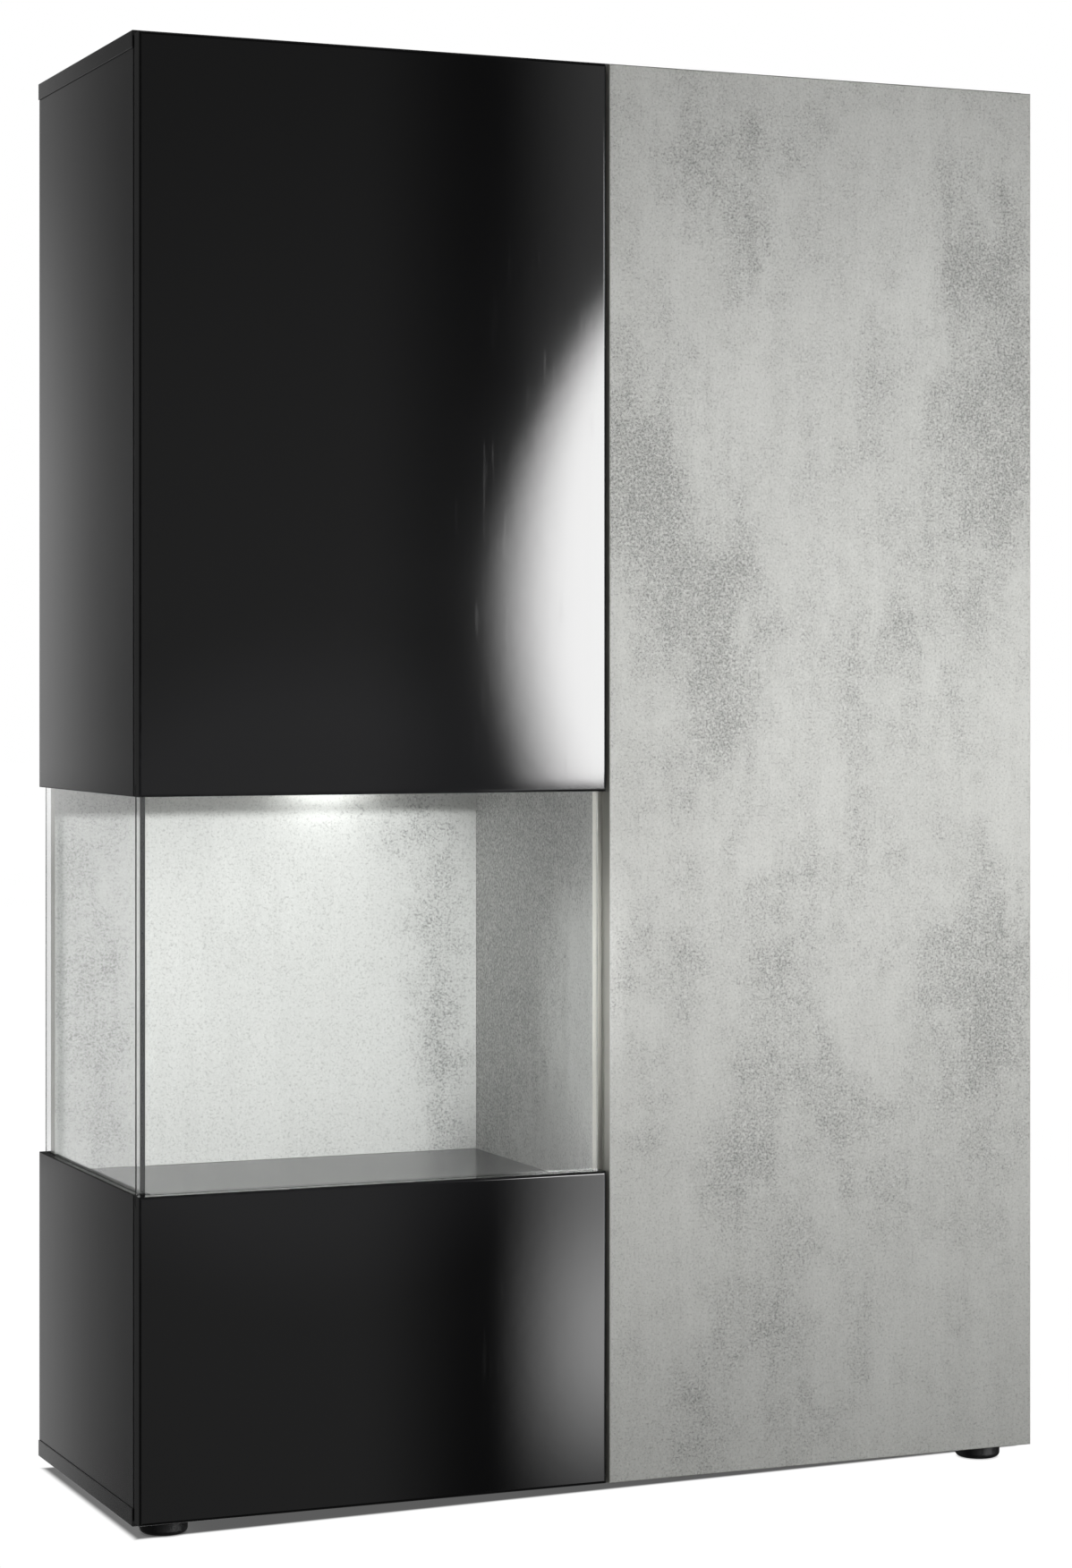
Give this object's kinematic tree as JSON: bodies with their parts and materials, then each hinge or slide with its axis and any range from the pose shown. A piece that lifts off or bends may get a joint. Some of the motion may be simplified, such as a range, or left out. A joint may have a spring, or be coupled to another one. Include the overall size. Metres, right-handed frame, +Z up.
{
  "type": "display cabinet",
  "caption": "Tall handle-less display cabinet: a gloss door with a clear glazed middle and a glazed side, a plain concrete-look door, lit display compartment, shelves and low feet.",
  "frame": {"origin": "on the floor, under the middle of the cabinet's outer box", "axes": "+Z up, -Y towards the person opening the doors, +X to that person's right"},
  "size_m": [0.932, 0.351, 1.381],
  "materials": {
    "black_board": "satin melamine",
    "gloss_black": "high-gloss lacquer",
    "concrete_decor": "matt concrete decor",
    "hardboard": "matt lacquered hardboard",
    "clear_glass": "clear float glass, polished edges",
    "nickel_steel": "nickel-plated",
    "zinc_cast": "bare zinc die casting",
    "beech": "raw beech",
    "black_plastic": "moulded, satin",
    "grey_plastic": "moulded, satin",
    "lamp_housing": "anodised",
    "lamp_lens": "opal diffuser, lit",
    "magnet": "nickel-plated magnet"
  },
  "bodies": {
    "carcass": {"top_board": "black_board", "bottom_board": "black_board", "left_side_upper": "black_board", "left_side_lower": "black_board", "right_side": "black_board", "centre_partition": "concrete_decor", "display_ceiling": "black_board", "display_floor": "black_board", "display_back_board": "concrete_decor", "upper_back_panel": "hardboard", "lower_back_panel": "hardboard", "right_back_panel": "hardboard", "side_glass": "clear_glass", "upper_shelf": "black_board", "right_shelf_lower": "black_board", "right_shelf_middle": "black_board", "right_shelf_upper": "black_board", "shelf_pins": "nickel_steel", "cam_housings": "zinc_cast", "cam_bolts": "nickel_steel", "dowels": "beech", "foot_front_left": "black_plastic", "foot_front_right": "black_plastic", "foot_rear_left": "black_plastic", "foot_rear_right": "black_plastic", "foot_screws": "nickel_steel", "led_spot_body": "lamp_housing", "led_spot_lens": "lamp_lens", "cable_grommet": "black_plastic", "wall_bracket_left": "nickel_steel", "wall_bracket_right": "nickel_steel", "bracket_screws": "nickel_steel", "left_hinge_arms": "nickel_steel", "right_hinge_arms": "nickel_steel", "left_hinge_plates": "nickel_steel", "right_hinge_plates": "nickel_steel", "left_hinge_adjusters": "nickel_steel", "right_hinge_adjusters": "nickel_steel", "plate_screws": "nickel_steel", "left_latch_housings": "grey_plastic", "right_latch_housings": "grey_plastic", "latch_screws": "nickel_steel"},
    "left_door": {"left_door_upper_panel": "gloss_black", "left_door_lower_panel": "gloss_black", "front_glass": "clear_glass", "left_hinge_cups": "nickel_steel", "left_hinge_pins": "nickel_steel", "left_cup_screws": "nickel_steel", "left_strike_plates": "nickel_steel"},
    "right_door": {"right_door_panel": "concrete_decor", "right_hinge_cups": "nickel_steel", "right_hinge_pins": "nickel_steel", "right_cup_screws": "nickel_steel", "right_strike_plates": "nickel_steel"},
    "left_plungers": {"left_latch_plungers": "black_plastic", "left_latch_magnets": "magnet"},
    "right_plungers": {"right_latch_plungers": "black_plastic", "right_latch_magnets": "magnet"}
  },
  "joints": [
    {"name": "left_door_hinge", "type": "hinge", "parent": "carcass", "child": "left_door", "pos_m": [-0.458, -0.166, 0.697], "axis": [0, 0, -1], "range_deg": [0, 95]},
    {"name": "right_door_hinge", "type": "hinge", "parent": "carcass", "child": "right_door", "pos_m": [0.458, -0.166, 0.697], "axis": [0, 0, 1], "range_deg": [0, 95]},
    {"name": "left_plunger_slide", "type": "slide", "parent": "carcass", "child": "left_plungers", "axis": [0, -1, 0], "range_m": [0, 0.014]},
    {"name": "right_plunger_slide", "type": "slide", "parent": "carcass", "child": "right_plungers", "axis": [0, -1, 0], "range_m": [0, 0.014]}
  ],
  "couplings": [
    {"joint": "left_plunger_slide", "follows": "left_door_hinge", "m_per_rad": 0.0084},
    {"joint": "right_plunger_slide", "follows": "right_door_hinge", "m_per_rad": 0.0084}
  ]
}
